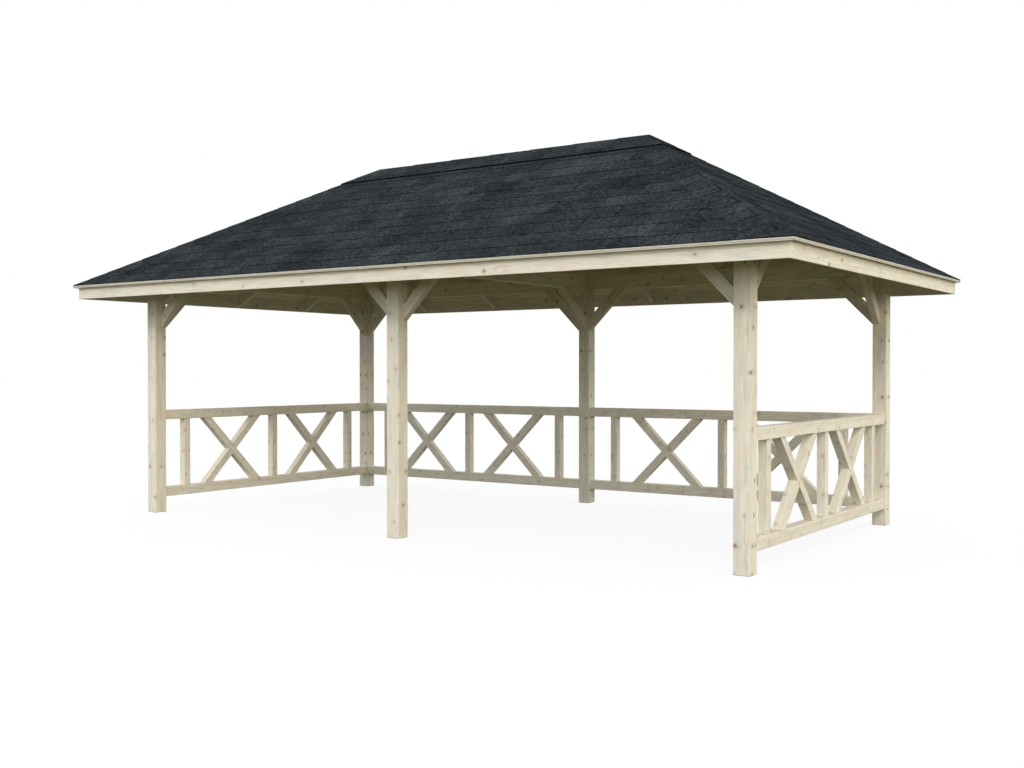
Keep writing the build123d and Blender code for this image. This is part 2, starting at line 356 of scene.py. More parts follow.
def timber_finish(name, settings, shade_tint, knottiness):
    """Planed spruce, worked out in the round from each bar's own place in its log.

    grain holds the way along the bar and two ways across from the pith. Growth rings follow the
    distance from the pith, bent by slow noise. Knots come in whorls: a one-way cell pattern sets
    how far along each whorl lies, the angle round the pith is cut in four, and each quarter holds
    a knot of random size or none. The third argument is a colour that the whole is multiplied by:
    painted shade, darker and yellower, for the roof boards that are seen only in shade under the
    roof, and white for the rest. knottiness fades the knots."""
    f = Finish(bpy.data.materials.new(name))
    grain = f.attribute("grain", "Vector")
    tone = f.attribute("tone")
    along, across, depth = f.node("SeparateXYZ", {0: grain}).outputs
    whorl = f.node("TexVoronoi", {"W": along, "Scale": 1.0 / settings.whorl, "Randomness": 0.75},
                   voronoi_dimensions="1D")
    place = whorl.outputs["W"]
    # the quarters round the pith, turned by chance at each whorl, and the luck of each
    chance = f.node("TexWhiteNoise", {"W": place}, noise_dimensions="1D").outputs["Value"]
    reach = f.distance(across, depth)
    quarter = f.add(f.math("DIVIDE", f.math("ARCTAN2", depth, across), QUARTER),
                    f.times(chance, 4.0))
    index = f.math("WRAP", f.math("FLOOR", quarter), 4.0, 0.0)
    key = f.node("CombineXYZ", {0: place, 1: index})
    luck = f.node("TexWhiteNoise", {"Vector": key}, noise_dimensions="3D").outputs["Value"]
    # how far the nearest knot's middle lies aside and ahead, and how far its edge
    aside = f.times(f.less(f.math("FRACT", quarter), 0.5), f.times(reach, QUARTER))
    ahead = f.times(f.less(along, place), 0.85)
    wobble = f.noise(grain, 80.0)
    gap = f.add(f.distance(ahead, aside), f.times(f.less(wobble, 0.5), 0.008))
    knot_size = f.add(f.even(luck, 0.22, 0.30, -0.012, 0.0056),
                      f.even(luck, 0.30, 1.0, 0.0, 0.0052))
    inside = f.less(knot_size, gap)
    knot = f.span(inside, -0.005, 0.005)
    halo = f.times(f.span(inside, -0.024, 0.0), f.span(knot_size, 0.0, 0.004))
    # the growth rings, which give way to a knot
    drift = f.drawn(grain, 1.2, 8.0, 3.0)
    bent = f.add(f.add(reach, f.times(drift, 0.035)), f.times(halo, 0.007))
    rings = f.noise_over(bent, 320.0, 1.0)
    cream, tan_wood, pink, grey, heart, sound = (linear(getattr(settings, part)) for part in (
        "cream", "tan", "pink", "grey", "knot", "sound_knot"))
    colour = cream
    for pattern, low, high, most, layer in (      # laid on one after another
            (f.noise_over(bent, 60.0, 2.0), 0.36, 0.68, 0.62, tan_wood),
            (f.drawn(grain, 4.2, 17.0, 3.0), 0.50, 0.70, 0.80, pink),
            (f.drawn(grain, 5.2, 20.0, 3.0, shift=7.3), 0.50, 0.68, 0.85, grey),
            (f.drawn(grain, 11.0, 48.0, 3.0, 0.6, shift=3.1), 0.46, 0.72, 0.55, tan_wood),
            (f.drawn(grain, 5.5, 95.0, 4.0, 0.65), 0.42, 0.68, 0.60, tan_wood),
            (rings, 0.50, 0.68, 0.20, sound),
            (f.drawn(grain, 26.0, 260.0, 2.0, 0.7), 0.55, 0.75, 0.22, sound)):
        colour = f.mix(f.span(pattern, low, high, 0.0, most), colour, layer)
    colour = f.mix(f.span(tone, 0.0, 1.0, 0.0, 0.20), colour, tan_wood, "MULTIPLY")
    colour = f.mix(f.times(halo, 0.28 * knottiness), colour, sound)
    core = f.mix(f.span(luck, 0.62, 0.86), sound, heart)
    colour = f.mix(f.times(knot, 0.8 * knottiness), colour, core)
    # painted shade: multiplied by the third argument, darker and yellower for the roof boards,
    # white for the rest
    colour = f.mix(1.0, colour, linear(shade_tint), "MULTIPLY")
    fine = f.drawn(grain, 7.0, 420.0)
    relief = f.add(f.times(rings, 0.5), f.less(f.times(fine, 0.5), f.times(knot, 0.8)))
    return f.surface(colour, f.span(rings, 0.3, 0.7, 0.92, 0.80), relief, 0.0006,
                     Specular_IOR_Level=0.08)


def shingle_finish(settings):
    """Mineral-faced bitumen: coarse granules over a tone that drifts from tab to tab, with dark
    rims along the tabs' edges that noise breaks up here and there: exposed bitumen on the cut
    edges, and painted shadow of the course lines and cuts on the face beside them."""
    f = Finish(bpy.data.materials.new("shingle_granules"))
    here = f.here()
    clumps = f.noise(here, 40.0, 3.0, 0.8)
    stones = f.node("TexVoronoi", {"Vector": here, "Scale": 260.0})
    cloud = f.noise(here, 2.6, 3.0)
    rim_breakup = f.noise(here, 9.0, 3.0)
    grit = f.node("SeparateColor", {0: stones.outputs["Color"]}).outputs[0]
    level = f.add(f.even(clumps, 0.30, 0.70, -0.38, 0.38),
                  f.add(f.even(f.attribute("tone"), 0.0, 1.0, 0.30, 0.52),
                        f.even(cloud, 0.3, 0.7, -0.13, 0.13)))
    level = f.add(level, f.even(grit, 0.0, 1.0, -0.12, 0.12), clamp=True)
    ramp = f.node("ValToRGB", {0: level})
    ramp.color_ramp.elements[0].color = linear(settings.dark)
    ramp.color_ramp.elements[1].color = linear(settings.light)
    ramp.color_ramp.elements.new(0.45).color = linear(settings.mid)
    # painted shadow of the course lines and cuts, with the exposed bitumen of the cut edges, from
    # the rim attribute; noise breaks it up
    bare_edge_and_shadow = f.times(f.span(f.attribute("rim"), 0.1, 1.0, 0.0, 0.9),
                   f.span(rim_breakup, 0.34, 0.60, 0.30, 1.0))
    colour = f.mix(bare_edge_and_shadow, ramp, linear(settings.edge))
    relief = f.add(clumps, f.times(stones.outputs["Distance"], -0.5))
    return f.surface(colour, 1.0, relief, 0.002, Specular_IOR_Level=0.0)


def felt_finish(settings):
    """Plain bitumen felt with a slight mottle; its face at the ridge cap's edge is painted shadow.
    """
    f = Finish(bpy.data.materials.new("roofing_felt"))
    mottle = f.noise(f.here(), 60.0, 3.0)
    colour = f.mix(f.span(mottle, 0.3, 0.7), linear(settings.edge), linear(settings.dark))
    return f.surface(colour, 0.95, mottle, 0.001, Specular_IOR_Level=0.0)


def metal_finish(settings):
    """Matt coated sheet: a faint mottle, duller where rain has run."""
    f = Finish(bpy.data.materials.new("coated_drip_edge"))
    here = f.here()
    dust = f.noise(here, 9.0, 4.0)
    runs = f.noise(f.scaled(here, 30.0, 30.0, 2.0), 1.0)
    base = linear(settings.metal)
    dull = (*(v * 0.86 for v in base[:3]), 1.0)
    colour = f.mix(f.times(f.span(dust, 0.35, 0.7), f.span(runs, 0.4, 0.65)), base, dull)
    return f.surface(colour, f.span(dust, 0.3, 0.7, 0.38, 0.5), dust, 0.0003)


FINISHES = {}


def finish_named(name):
    """The finish of that name, made once."""
    if name not in FINISHES:
        wood, roof = bpy.context.scene.gazebo_timber, bpy.context.scene.gazebo_roof
        plain = (1, 1, 1)
        makers = {
            "timber": lambda: timber_finish("planed_spruce", wood, plain, wood.frame_knots),
            "rails": lambda: timber_finish("railing_spruce", wood, plain, wood.rail_knots),
            "boards": lambda: timber_finish("spruce_boards", wood, wood.board_shade_tint,
                                            wood.board_knots),
            "shingles": lambda: shingle_finish(roof),
            "felt": lambda: felt_finish(roof),
            "metal": lambda: metal_finish(roof),
        }
        FINISHES[name] = makers[name]()
    return FINISHES[name]


# ---- surfaces ---------------------------------------------------------------


def unit(v):
    return v / np.linalg.norm(v)


def piece(name, parts, finishes, nodes):
    """One object from several closed surfaces. A part is its points, its faces, and its values.

    Points are stacked, each part's face numbers move up by the points before it, and the values
    become attributes of the same names. A part's faces are arrays with a face in each row. Its
    finish counts along finishes, from 0."""
    points = np.concatenate([p["points"] for p in parts])
    before = np.cumsum([0] + [len(p["points"]) for p in parts[:-1]])
    faces = [face for p, count in zip(parts, before) for rows in p["faces"]
             for face in (rows + count).tolist()]
    mesh = bpy.data.meshes.new(name)
    mesh.from_pydata(points.tolist(), [], faces)
    for key, kind, field in (("grain", "FLOAT_VECTOR", "vector"), ("tone", "FLOAT", "value"),
                             ("rim", "FLOAT", "value")):
        if key in parts[0]:
            values = np.concatenate([p[key] for p in parts]).astype(np.float32)
            mesh.attributes.new(key, kind, "POINT").data.foreach_set(field, values.ravel())
    for each in finishes:
        mesh.materials.append(finish_named(each))
    index = [np.full(sum(map(len, p["faces"])), p.get("finish", 0), np.int32) for p in parts]
    mesh.polygons.foreach_set("material_index", np.concatenate(index))
    mesh.validate()
    mesh.update()
    made = bpy.data.objects.new(name, mesh)
    bpy.context.scene.collection.objects.link(made)
    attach(made, "root")
    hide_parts(*nodes)


def timber(node, bars, finish="timber"):
    """The timber piece that stands for one CAD node."""
    piece("timber_" + node, bars, (finish,), [node])


def ring_faces(rings, count):
    """Quads between successive closed rings of count points, and the two end faces."""
    i, k = np.meshgrid(np.arange(rings - 1), np.arange(count), indexing="ij")
    a = i * count + k
    b = i * count + (k + 1) % count
    ends = np.stack([np.arange(count)[::-1], np.arange(count) + (rings - 1) * count])
    return [np.stack([a, b, b + count, a + count], -1).reshape(-1, 4), ends]


def eased(outline, ease):
    """Each corner of an outline becomes three points: ease back along one edge, ease on along the
    next, and between them the middle of the curve that the corner pulls."""
    p = np.asarray(outline, float)
    back = np.roll(p, 1, 0) - p
    on = np.roll(p, -1, 0) - p
    back /= np.linalg.norm(back, axis=1, keepdims=True)
    on /= np.linalg.norm(on, axis=1, keepdims=True)
    ease = np.broadcast_to(ease, len(p))[:, None]
    a = p + ease * back
    b = p + ease * on
    return np.stack([a, (a + 2 * p + b) / 4, b], 1).reshape(-1, 2)


def rectangle(u0, u1, v0, v1):
    return [(u0, v0), (u1, v0), (u1, v1), (u0, v1)]


def square(half):
    return rectangle(-half, half, -half, half)


def bar(outline, start, end, side, up, rng, ease, cuts=(None, None)):
    """A straight bar: a profile carried along a line.

    Every point of the eased outline runs from start to end, and stops on the cutting plane at
    each end, which is given as a point and a normal, or stands square to the bar. The outermost
    rings are the profile drawn in by the easing, so that the ends have eased edges too. grain is
    the distance along the bar and the two distances across it from a pith placed at random: inside
    a post, and behind the wide face of a board, so that its knots come out square to that face."""
    axis = unit(end - start)
    profile = eased(outline, ease)
    ease = np.max(ease)
    low, high = profile.min(0), profile.max(0)
    middle, width = (low + high) / 2, high - low
    inner = middle + (profile - middle) * (1 - 2 * ease / width)
    if np.dot(np.cross(side, up), axis) < 0:
        profile, inner = profile[::-1], inner[::-1]
    first, last = (cut or (place, axis) for cut, place in zip(cuts, (start, end)))
    rings, ways = [], []
    for shape, (point, normal), back in ((inner, first, 0.0), (profile, first, ease),
                                         (profile, last, -ease), (inner, last, 0.0)):
        base = start + shape[:, :1] * side + shape[:, 1:] * up
        run = (point - base) @ normal / np.dot(axis, normal) + back
        rings.append(base + run[:, None] * axis)
        ways.append(np.column_stack([run, shape]))
    pith = rng.uniform(-0.5, 0.5, 2) * width * POST_PITH + middle
    thin, wide = np.argsort(width)
    if width[wide] > BOARD_SHAPE * width[thin]:
        pith[thin] -= width[wide] * PITH_BEHIND
    shift = np.array([rng.uniform(*LOG_RUN), *-pith])
    points = np.concatenate(rings)
    return {
        "points": points,
        "faces": ring_faces(4, len(profile)),
        "grain": np.concatenate(ways) + shift,
        "tone": np.full(len(points), rng.uniform()),
    }


class Slope:
    """One slope of the roof: its level way along the eave, its level way inward, its ways up the
    slope and out of it, the middle of its eave on the shingles' upper face, and half its eave."""

    def __init__(self, side):
        self.long = side in ("front", "back")
        self.along = {"front": X, "back": -X, "right": Y, "left": -Y}[side]
        self.inward = np.cross(Z, self.along)
        self.up = self.inward * cos(PITCH) + Z * sin(PITCH)
        self.out = np.cross(self.along, self.up)
        self.half, reach = (EAVE_X, EAVE_Y) if self.long else (EAVE_Y, EAVE_X)
        self.eave = Z * EAVE_Z - self.inward * reach

    def at(self, a, s, h):
        """Points from the way along the eave a, up the slope s and out h, all arrays alike."""
        a, s, h = (v[..., None] for v in (a, s, h))
        return self.eave + a * self.along + s * self.up + h * self.out

    def reach(self, s):
        """How far the slope runs each way from its middle, s up it."""
        return self.half - s * cos(PITCH)

    def hips(self):
        """The two upright hip planes that end the slope, first and last along it."""
        cuts = []
        for sign in (-1, 1):
            point = self.along * sign if self.long else -self.inward
            cuts.append((point * RIDGE_HALF, unit(self.along * sign + self.inward)))
        return cuts


SLOPES = {side: Slope(side) for side in SIDES}


# ---- timber -----------------------------------------------------------------


def lengthways(node):
    """A CAD node's middle, half its length, its half sizes across and up, and its ways along and
    across. Its length is the longer of its two level ways."""
    middle, half = spans(node)
    way = int(np.argmax(half[:2]))
    axis, side = (X, Y) if way == 0 else (Y, -X)
    return middle, half[way], half[1 - way], half[2], axis, side


def post(node, rng, ease):
    """A square post, plumb, from the ground to the plates."""
    middle, half = spans(node)
    outline = rectangle(-half[0], half[0], -half[1], half[1])
    return bar(outline, middle - Z * half[2], middle + Z * half[2], X, Y, rng, ease)


def beam(node, rng, ease):
    """A level beam that fills a CAD node's box, with its grain along the longer way."""
    middle, reach, across, up, axis, side = lengthways(node)
    return bar(rectangle(-across, across, -up, up), middle - axis * reach, middle + axis * reach,
               side, Z, rng, ease)


def brace(post_face, lean, sides, run, turned, rng, ease):
    """A knee brace at 45 degrees between a post's face and the underside of a plate.

    Its lower edge starts run below the plate, and both ends are cut on those two faces. It is
    laid out along X, and turned swaps X and Y."""
    foot = np.array((post_face, 0.0, PLATE_LOW - run))
    head = np.array((post_face + lean * run, 0.0, PLATE_LOW))
    up = np.array((-lean, 0.0, 1.0)) / sqrt(2)
    order = [1, 0, 2] if turned else [0, 1, 2]
    foot, head, up, across, side = (v[order] for v in (foot, head, up, X, Y))
    return bar(rectangle(*sides, 0.0, BRACE_WIDTH), foot, head, side, up, rng, ease,
               ((foot, across), (head, Z)))


def braces(node, rng, ease):
    """All the braces of a CAD node, from its box: four along the length, or two across."""
    low, high = box(node)
    turned = high[0] - low[0] < high[1] - low[1]
    if turned:
        spots = [(-lean * (POST_Y - POST_HALF), lean) for lean in (1, -1)]
    else:
        spots = [(place + lean * POST_HALF, lean)
                 for place, lean in ((-POST_X, 1), (0.0, -1), (0.0, 1), (POST_X, -1))]
    across = 0 if turned else 1
    return [brace(face, lean, (low[across], high[across]), PLATE_LOW - low[2], turned, rng, ease)
            for face, lean in spots]


def panel_bars(node, rng, ease):
    """A railing panel's rails, uprights and crossed bars, as three lists of bars.

    The panel is laid out along its longer way from its box. Of two crossed bars one runs right
    through, and the other is in two halves that stop at it."""
    middle, reach, rail, up, axis, side = lengthways(node)
    first = reach + POST_HALF - FIRST_UPRIGHT
    rise = up - 2 * rail            # from the panel's middle to the faces of its rails
    rails, uprights, crossed = [], [], []
    for sign in (-1, 1):
        centre = middle + Z * sign * (up - rail)
        rails.append(bar(square(rail), centre - axis * reach, centre + axis * reach, side, Z, rng,
                         ease))
    stick = square(STICK_HALF)
    for place in (-first, 0.0, first):
        centre = middle + axis * place
        uprights.append(bar(stick, centre - Z * rise, centre + Z * rise, axis, np.cross(Z, axis),
                            rng, ease))
    through, other = unit(Z - axis), unit(Z + axis)
    far = rise * sqrt(2)
    for place in (-first / 2, first / 2):
        centre = middle + axis * place
        low, high = ((centre + Z * sign * rise, Z) for sign in (-1, 1))
        crossed.append(bar(stick, centre - through * far, centre + through * far, side,
                           np.cross(through, side), rng, ease, (low, high)))
        for sign, cut in ((-1, low), (1, high)):
            start = centre + other * sign * STICK_HALF
            crossed.append(bar(stick, start, centre + other * sign * far, side,
                               np.cross(other, side), rng, ease, ((start, other), cut)))
    return rails, uprights, crossed


def rafter_top(out):
    """Height of the rafters' upper edges, out metres in plan from the ridge or from its end."""
    return APEX_Z - RAFTER_DROP - SLOPE * out


def beside_hip(side_x, side_y, gap):
    """The upright plane gap metres from a hip's middle, towards the end of the roof."""
    normal = unit(side_x * X - side_y * Y)
    return side_x * RIDGE_HALF * X + normal * gap, normal


def rafter_head(slope, place):
    """The plane that a rafter stops at: the ridge beam, where two hips meet, or a hip."""
    if slope.long and abs(place) < RIDGE_HALF - NEAR_HIP:
        return -slope.inward * RAFTER_HALF, slope.inward
    if not slope.long and place == 0:
        return -slope.inward * (RIDGE_HALF + HIPS_MEET), slope.inward
    side_x, side_y, _ = np.sign(slope.along * place - slope.inward)
    return beside_hip(side_x, side_y, -HIP_HALF if slope.long else HIP_HALF)


def rafter(slope, place, rng, ease):
    """A rafter: an upright profile carried up the slope, cut plumb at both ends.

    place is its way along the eave. It starts at the inner face of the fascia."""
    tail = (FASCIA_Y if slope.long else FASCIA_X) - FASCIA_T
    top = rafter_top(tail if slope.long else tail - RIDGE_HALF)
    foot = slope.along * place - slope.inward * tail + Z * top
    outline = rectangle(-RAFTER_HALF, RAFTER_HALF, -RAFTER_DEPTH / cos(PITCH), 0.0)
    return bar(outline, foot, foot + slope.up, slope.along, Z, rng, ease,
               ((foot, slope.inward), rafter_head(slope, place)))


def hip_rafter(side_x, side_y, rng, ease):
    """A hip rafter, from the ridge to the corner, with its top bevelled to both slopes."""
    plan = unit(side_x * X + side_y * Y)
    way = unit(side_x * X + side_y * Y - SLOPE * Z)
    bevel = -HIP_HALF / sqrt(2) * SLOPE
    outline = [(-HIP_HALF, bevel), (-HIP_HALF, -HIP_DEPTH), (HIP_HALF, -HIP_DEPTH),
               (HIP_HALF, bevel), (0.0, 0.0)]
    start = side_x * RIDGE_HALF * X + (APEX_Z - RAFTER_DROP) * Z + way * HIP_START
    corner = side_x * (FASCIA_X - FASCIA_T) * X + side_y * (FASCIA_Y - FASCIA_T) * Y
    return bar(outline, start, start + way, np.cross(plan, Z), Z, rng, ease,
               ((start, plan), (corner - plan * HIP_HALF, plan)))


class GAZEBO_OT_posts(Operator):
    """Six square posts, each a plumb bar with eased edges"""
    bl_idname = "gazebo.posts"
    bl_label = "Posts"

    def execute(self, context):
        rng = np.random.default_rng(11)
        for name in POST_NAMES:
            timber(name, [post(name, rng, context.scene.gazebo_timber.arris)])
        return {"FINISHED"}


class GAZEBO_OT_plates(Operator):
    """Four wall plates and the tie beam between the middle posts"""
    bl_idname = "gazebo.plates"
    bl_label = "Plates and tie beam"

    def execute(self, context):
        rng = np.random.default_rng(12)
        for name in ("plate_front", "plate_back", "plate_left", "plate_right", "tie_beam"):
            timber(name, [beam(name, rng, context.scene.gazebo_timber.arris)])
        return {"FINISHED"}


class GAZEBO_OT_braces(Operator):
    """Knee braces between the posts and the plates"""
    bl_idname = "gazebo.braces"
    bl_label = "Knee braces"

    def execute(self, context):
        rng = np.random.default_rng(13)
        for place in (*SIDES, "middle"):
            name = "braces_" + place
            timber(name, braces(name, rng, context.scene.gazebo_timber.arris))
        return {"FINISHED"}


class GAZEBO_OT_railings(Operator):
    """Railing panels: two rails, three uprights and two pairs of crossed bars in each"""
    bl_idname = "gazebo.railings"
    bl_label = "Railings"

    def execute(self, context):
        rng = np.random.default_rng(14)
        for name in ("railing_left", "railing_right", "railing_back_left", "railing_back_right"):
            groups = panel_bars(name, rng, context.scene.gazebo_timber.arris)
            for kind, bars in zip(("rails", "uprights", "crossed_bars"), groups):
                piece(name + "_" + kind, bars, ("rails",), [name])
        return {"FINISHED"}


class GAZEBO_OT_rafters(Operator):
    """Ridge beam, hip rafters and the rafters of the four slopes"""
    bl_idname = "gazebo.rafters"
    bl_label = "Rafters"

    def execute(self, context):
        ease = context.scene.gazebo_timber.fine_arris
        rng = np.random.default_rng(15)
        timber("ridge_beam", [beam("ridge_beam", rng, ease)], "rails")
        for x, y in CORNERS:
            timber(f"hip_rafter_{y}_{x}", [hip_rafter(SIGN[x], SIGN[y], rng, ease)], "rails")
        for side, slope in SLOPES.items():
            count = RAFTERS[slope.long]
            places = (np.arange(count) - (count - 1) / 2) * RAFTER_STEP
            bars = [rafter(slope, place, rng, ease) for place in places]
            timber("rafters_" + side, bars, "rails")
        return {"FINISHED"}


class GAZEBO_OT_roof_boards(Operator):
    """Boards under the shingles: along each slope, bevelled below, mitred at the hips"""
    bl_idname = "gazebo.roof_boards"
    bl_label = "Roof boards"

    def execute(self, context):
        settings = context.scene.gazebo_timber
        rng = np.random.default_rng(16)
        top = -DECK_DROP * cos(PITCH)
        under = -RAFTER_DROP * cos(PITCH)
        first = (EAVE_X - DECK_X) / cos(PITCH) + top * tan(PITCH)
        last = EAVE_Y / cos(PITCH) + under * tan(PITCH)
        joints = np.linspace(first, last, int(np.ceil((last - first) / settings.board)) + 1)
        ease = np.array((settings.board_groove, settings.board_groove, UPPER_EASE, UPPER_EASE))
        for side, slope in SLOPES.items():
            bars = []
            for s0, s1 in zip(joints[:-1] + BOARD_GAP / 2, joints[1:] - BOARD_GAP / 2):
                plumb = 0.0 if bars else (top - under) * tan(PITCH)
                outline = [(s0 - plumb, under), (s1, under), (s1, top), (s0, top)]
                bars.append(bar(outline, slope.eave - slope.along, slope.eave + slope.along,
                                slope.up, slope.out, rng, ease, slope.hips()))
            # the board at the eave is seen in the light beside the fascia, so it takes the plain
            # timber finish without the painted shade of the other boards
            bars[0]["finish"] = 1       # the board at the eave is seen beside the fascia
            piece("boards_" + side, bars, ("boards", "timber"), ["deck_" + side])
        return {"FINISHED"}


class GAZEBO_OT_fascias(Operator):
    """Fascia boards on the rafter ends, with their upper edges bevelled to the roof boards"""
    bl_idname = "gazebo.fascias"
    bl_label = "Fascias"

    def execute(self, context):
        rng = np.random.default_rng(17)
        top = rafter_top(FASCIA_Y) - FASCIA_CLEAR
        for side, slope in SLOPES.items():
            low = box("fascia_" + side)[0][2]
            face, reach = (FASCIA_Y, FASCIA_X) if slope.long else (FASCIA_X, FASCIA_Y - FASCIA_T)
            outline = [(0.0, low), (FASCIA_T, low), (FASCIA_T, top + FASCIA_T * SLOPE), (0.0, top)]
            start = -slope.inward * face - slope.along * reach
            board = bar(outline, start, start + slope.along * 2 * reach, slope.inward, Z, rng,
                        context.scene.gazebo_timber.fine_arris)
            piece("fascia_board_" + side, [board], ("timber",), ["fascia_" + side])
        return {"FINISHED"}


# ---- roof covering ------------------------------------------------------------


def rim_order(rows, cols):
    """The grid's outer points, once round."""
    n = np.arange(rows * cols).reshape(rows, cols)
    return np.concatenate([n[0, :-1], n[:-1, -1], n[-1, :0:-1], n[:0:-1, 0]])


def slab_faces(rows, cols, folded):
    """Faces of a thin closed slab: a grid of quads, the walls round it, and its underside.

    The grid's points come first, row by row. After them a folded slab has the whole grid again,
    lower down, and a flat slab only its rim, which one face closes."""
    i, k = np.meshgrid(np.arange(rows - 1), np.arange(cols - 1), indexing="ij")
    a = i * cols + k
    top = np.stack([a, a + 1, a + cols + 1, a + cols], -1).reshape(-1, 4)
    rim = rim_order(rows, cols)
    low = rows * cols + (rim if folded else np.arange(len(rim)))
    walls = np.stack([np.roll(rim, -1), rim, low, np.roll(low, -1)], -1)
    return [top, walls, top[:, ::-1] + rows * cols if folded else low[None, ::-1]]


def slab(top, below, rim, tone, folded=False):
    """A closed slab from its upper grid and the grid below it, row by row.

    A flat slab has one face below. A folded one keeps the whole lower grid, so that it follows
    the fold underneath too."""
    order = np.arange(rim.size) if folded else rim_order(*rim.shape)
    tones = np.broadcast_to(tone, rim.shape).ravel()
    return {
        "points": np.concatenate([top.reshape(-1, 3), below.reshape(-1, 3)[order]]),
        "faces": slab_faces(*rim.shape, folded),
        "rim": np.concatenate([rim.ravel(), np.maximum(rim.ravel()[order], UNDER_RIM)]),
        "tone": np.concatenate([tones, tones[order]]),
    }


def tab(slope, a0, a1, s0, s1, base, thick, tone, hold, nose):
    """One shingle tab on a slope, as a slab over four ways along by four up.

    Its upper face falls evenly from thick above base at its lower edge to base at s1, where the
    next course covers it, and its underside is thick below that. Its sides are drawn in to the
    hips, which it stays hold short of, and nose turns it a little."""
    a = np.array((a0, a0 + SIDE_RIM, a1 - SIDE_RIM, a1))[None, :].repeat(4, 0)
    s = np.array((s0, *(s0 + row for row in LIP_ROWS), s1))[:, None].repeat(4, 1)
    s = s + np.linspace(0, 1, 4)[None, :] * nose
    limit = slope.reach(s) - hold
    step = SLIVER * np.arange(4)
    a = np.clip(a, -limit + step, limit - step[::-1])
    h = base + thick - thick * (s - s0) / (s1 - s0)
    h[0] -= LIP_DROP
    rim = np.zeros((4, 4))
    rim[:, (0, -1)] = TAB_RIMS[2]
    rim[0], rim[1] = TAB_RIMS[:2]
    return slab(slope.at(a, s, h), slope.at(a, s, h - thick), rim,
                tone[[0, 0, 1, 1]][None, :].repeat(4, 0))


def course_tabs(slope, s0, shown, shift, base, settings, rng, hold):
    """The tabs of one course, from hip to hip, with cuts between them."""
    limit = slope.reach(s0) - hold
    width = settings.tab_width
    count = int(limit // width) + 2
    found = []
    for start in (np.arange(-count, count) + shift) * width:
        gap = settings.cut * (CUT_LEAST + CUT_MORE * rng.uniform() ** 4)
        a0, a1 = start + gap / 2, start + width - gap / 2
        tone = rng.uniform(size=2)
        nose = rng.uniform(-TAB_TURN, TAB_TURN)
        drop = rng.uniform(*TAB_DROP)
        if min(a1, limit) - max(a0, -limit) >= TAB_LEAST:
            found.append(tab(slope, a0, a1, s0 + drop, s0 + shown + settings.lap, base,
                             settings.thickness, tone, hold, nose))
    return found


def sheet_on(slope, s0, s1, h, thick):
    """A plain felt sheet over a slope between two heights up it, drawn in to the hips."""
    s = np.array((s0, s1))[:, None].repeat(2, 1)
    limit = np.maximum(slope.reach(s[:, 0]), SHEET_LEAST)
    a = np.stack([-limit, limit], 1)
    level = np.full((2, 2), h)
    sheet = slab(slope.at(a, s, level), slope.at(a, s, level - thick), np.zeros((2, 2)), 0.0)
    return {**sheet, "finish": 1}


class GAZEBO_OT_shingles(Operator):
    """Courses of rectangular shingle tabs over felt, each course lapping the one below"""
    bl_idname = "gazebo.shingles"
    bl_label = "Shingles"

    def execute(self, context):
        settings = context.scene.gazebo_roof
        rng = np.random.default_rng(21)
        ridge = EAVE_Y / cos(PITCH)
        base = -DECK_DROP * cos(PITCH) + FELT
        for side, slope in SLOPES.items():
            parts = [sheet_on(slope, FELT_FOOT, ridge - FELT_SHORT, base, FELT)]
            s0, shown, shift = COURSE_FOOT, settings.first_course, 0.0
            while s0 + shown < ridge - RIDGE_ROOM:
                parts += course_tabs(slope, s0, shown, shift, base, settings, rng, HIP_HOLD)
                s0, shown, shift = s0 + shown, settings.exposure, 0.5 - shift
            parts += course_tabs(slope, s0, ridge - s0 - LAST_SHORT, shift, base, settings, rng,
                                 HIP_HOLD)
            piece("shingle_courses_" + side, parts, ("shingles", "felt"),
                  ["shingles_" + side])
        return {"FINISHED"}


def folded_shingle(line, v0, v1, q0, q1, base, thick, tone, floor_slope):
    """A shingle folded over a hip or ridge: a slab over ways across the fold and along it.

    q runs across the fold, below zero on the first wing and above on the second. A point is the
    fold line at v, plus q down its wing, plus the height out of that wing. Near the fold the two
    outs are blended. floor_slope keeps the first piece on the roof, as v is never less than it
    times q."""
    origin, way, wings, outs = line
    q = np.array((q0, q0 + SIDE_RIM, q1 - SIDE_RIM, q1))
    if q0 < 0 < q1:
        q = np.insert(q, 2, (q0 / 2, -FOLD, 0.0, FOLD, q1 / 2))
    v = np.array((v0, *(v0 + row for row in LIP_ROWS), v1))
    grid_q, grid_v = np.meshgrid(q, v)
    far = np.abs(grid_q)
    height = base + thick - thick * (grid_v - v0) / (v1 - v0)
    height[0] -= LIP_DROP
    height -= WING_DROP * (far > far.max() - WING_EDGE)
    step = SLIVER * np.arange(4)[:, None]
    grid_v = np.maximum(grid_v, far * floor_slope + FOLD_FOOT + step)
    blend = np.clip(grid_q / FOLD, -1, 1)[..., None] * 0.5 + 0.5
    out = outs[0] * (1 - blend) + outs[1] * blend
    out = out / np.linalg.norm(out, axis=-1, keepdims=True)
    wing = np.where(grid_q[..., None] < 0, wings[0], wings[1])
    surface = origin + grid_v[..., None] * way + far[..., None] * wing
    rim = np.zeros(grid_q.shape)
    rim[:, (0, -1)] = np.where(far[0, [0, -1]] > WING_LEAST, 0.0, FOLD_RIMS[2])
    rim[0], rim[1] = FOLD_RIMS[:2]
    return slab(surface + height[..., None] * out, surface + (height - thick)[..., None] * out,
                rim, tone, folded=True)


